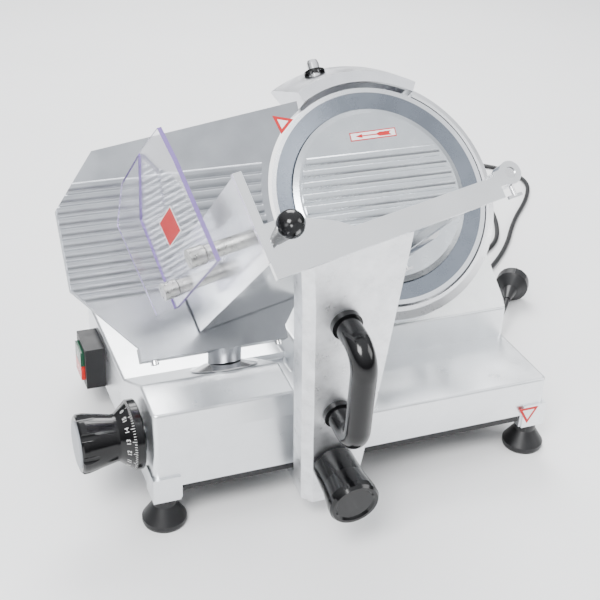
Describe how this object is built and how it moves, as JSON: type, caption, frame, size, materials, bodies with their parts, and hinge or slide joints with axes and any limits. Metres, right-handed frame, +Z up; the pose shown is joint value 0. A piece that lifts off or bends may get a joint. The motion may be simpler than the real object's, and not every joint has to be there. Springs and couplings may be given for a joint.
{
  "type": "deli meat slicer",
  "caption": "Gravity-feed meat slicer with a tilted round knife, sliding food carriage with pusher and clear hand guard, fluted gauge plate and index knob.",
  "frame": {"origin": "centre of the underside of the box around the machine, at the soles of the feet", "axes": "+X to the right along the carriage travel, +Y away from the operator, +Z up"},
  "size_m": [0.8939, 0.8916, 0.4158],
  "materials": {
    "cast_aluminium": "cast and polished, fine satin grain, clear lacquer",
    "anodised_aluminium": "satin anodised, fine grain",
    "blade_steel": "ground, concentric fine lines",
    "bright_steel": "turned and polished",
    "black_plastic": "moulded phenolic, glossy",
    "grey_plastic": "moulded, matt",
    "clear_plastic": "clear bent sheet, violet edges",
    "red_plastic": "moulded",
    "green_plastic": "moulded",
    "black_sheet": "black painted sheet steel",
    "black_rubber": "moulded rubber, satin",
    "motor_iron": "machined, dull",
    "stone_grit": "bonded abrasive, rough"
  },
  "bodies": {
    "base": {"base_casting": "cast_aluminium", "blade_cover": "anodised_aluminium", "blade_guard_ring": "anodised_aluminium", "blade_tower": "cast_aluminium", "bottom_pan": "black_sheet", "carriage_rod": "bright_steel", "cord_gland": "black_plastic", "cover_tie_rod": "bright_steel", "drive_belt": "black_rubber", "foot_1": "black_rubber", "foot_2": "black_rubber", "foot_3": "black_rubber", "foot_4": "black_rubber", "gauge_rail": "bright_steel", "guide_rail": "bright_steel", "motor_housing": "motor_iron", "plug_pins": "bright_steel", "power_cord": "black_rubber", "power_plug": "black_rubber", "run_capacitor": "grey_plastic", "shaft_bearing_1": "bright_steel", "shaft_bearing_2": "bright_steel", "sharpener_bracket": "cast_aluminium", "switch_housing": "black_plastic"},
    "blade": {"blade": "blade_steel", "blade_hub": "bright_steel", "blade_pulley": "bright_steel", "blade_screws": "bright_steel"},
    "rotor": {"motor_rotor": "motor_iron", "motor_pulley": "bright_steel"},
    "carriage": {"slide_block": "cast_aluminium", "slide_bushes": "grey_plastic", "carriage_arm": "cast_aluminium", "food_tray": "anodised_aluminium", "pusher_rod": "bright_steel", "hand_guard": "clear_plastic", "guard_standoffs": "bright_steel", "grip_handle": "black_plastic", "wing_screws": "bright_steel"},
    "roller": {"guide_roller": "bright_steel"},
    "clamp_knob": {"carriage_knob": "black_plastic"},
    "sleeve": {"pusher_sleeve": "bright_steel"},
    "pusher": {"pusher_plate": "anodised_aluminium", "pusher_knob": "black_plastic"},
    "index": {"index_knob": "black_plastic", "index_cap": "grey_plastic", "index_shaft": "bright_steel", "scroll_disc": "bright_steel"},
    "gauge": {"gauge_plate": "anodised_aluminium", "gauge_support": "anodised_aluminium", "gauge_dish": "bright_steel", "gauge_slide": "cast_aluminium", "gauge_screws": "bright_steel"},
    "start": {"start_button": "green_plastic"},
    "stop": {"stop_button": "red_plastic"},
    "sharpener": {"sharpener_housing": "anodised_aluminium"},
    "sharpener_press_body": {"sharpener_button": "bright_steel"},
    "stone_1": {"grinding_stone": "stone_grit"},
    "stone_2": {"deburring_stone": "stone_grit"},
    "tie_knob": {"cover_tie_knob": "black_plastic"}
  },
  "joints": [
    {"name": "blade_spin", "type": "hinge", "parent": "base", "child": "blade", "pos_m": [0.10725, 0.05738, 0.26131], "axis": [0, -0.7431, 0.6691], "continuous": true},
    {"name": "motor_spin", "type": "hinge", "parent": "base", "child": "rotor", "pos_m": [0.16725, -0.00686, 0.18997], "axis": [0, -0.7431, 0.6691], "continuous": true},
    {"name": "carriage_slide", "type": "slide", "parent": "base", "child": "carriage", "axis": [1, 0, 0], "range_m": [-0.11, 0.16]},
    {"name": "roller_spin", "type": "hinge", "parent": "carriage", "child": "roller", "pos_m": [-0.02425, 0.0549, 0.0593], "axis": [0, 1, 0], "continuous": true},
    {"name": "clamp_knob_turn", "type": "hinge", "parent": "carriage", "child": "clamp_knob", "pos_m": [-0.02725, -0.15146, 0.08353], "axis": [0, -0.9866, -0.1633], "range_deg": [0, 360]},
    {"name": "pusher_slide", "type": "slide", "parent": "carriage", "child": "sleeve", "axis": [0, -0.7431, 0.6691], "range_m": [0, 0.15]},
    {"name": "pusher_swing", "type": "hinge", "parent": "sleeve", "child": "pusher", "pos_m": [0.10553, 0.0102, 0.20891], "axis": [0, 0.7431, -0.6691], "range_deg": [0, 95]},
    {"name": "index_turn", "type": "hinge", "parent": "base", "child": "index", "pos_m": [-0.19125, -0.0596, 0.092], "axis": [-1, 0, 0], "range_deg": [0, 300]},
    {"name": "gauge_slide", "type": "slide", "parent": "base", "child": "gauge", "axis": [0, 0.8872, -0.4614], "range_m": [0, 0.013]},
    {"name": "start_press", "type": "slide", "parent": "base", "child": "start", "axis": [1, 0, 0], "range_m": [0, 0.003], "stiffness_N_per_m": 500, "springref_m": -0.001},
    {"name": "stop_press", "type": "slide", "parent": "base", "child": "stop", "axis": [1, 0, 0], "range_m": [0, 0.003], "stiffness_N_per_m": 500, "springref_m": -0.001},
    {"name": "sharpener_lift", "type": "slide", "parent": "base", "child": "sharpener", "axis": [0, 0.6691, 0.7431], "range_m": [0, 0.02]},
    {"name": "sharpener_press", "type": "slide", "parent": "sharpener", "child": "sharpener_press_body", "axis": [0, -0.6691, -0.7431], "range_m": [0, 0.004], "stiffness_N_per_m": 300, "springref_m": -0.002},
    {"name": "grinding_stone_spin", "type": "hinge", "parent": "sharpener", "child": "stone_1", "pos_m": [0.06725, 0.14867, 0.32982], "axis": [0, -0.7431, 0.6691], "continuous": true},
    {"name": "deburring_stone_spin", "type": "hinge", "parent": "sharpener", "child": "stone_2", "pos_m": [0.13125, 0.14867, 0.32982], "axis": [0, -0.7431, 0.6691], "continuous": true},
    {"name": "tie_knob_turn", "type": "hinge", "parent": "base", "child": "tie_knob", "pos_m": [0.10725, 0.16142, 0.16763], "axis": [0, 0.7431, -0.6691], "range_deg": [0, 360]}
  ],
  "couplings": [
    {"joint": "motor_spin", "follows": "blade_spin", "ratio": 2.9018},
    {"joint": "gauge_slide", "follows": "index_turn", "m_per_rad": 0.0024828},
    {"joint": "roller_spin", "follows": "carriage_slide", "rad_per_m": 188.68}
  ]
}
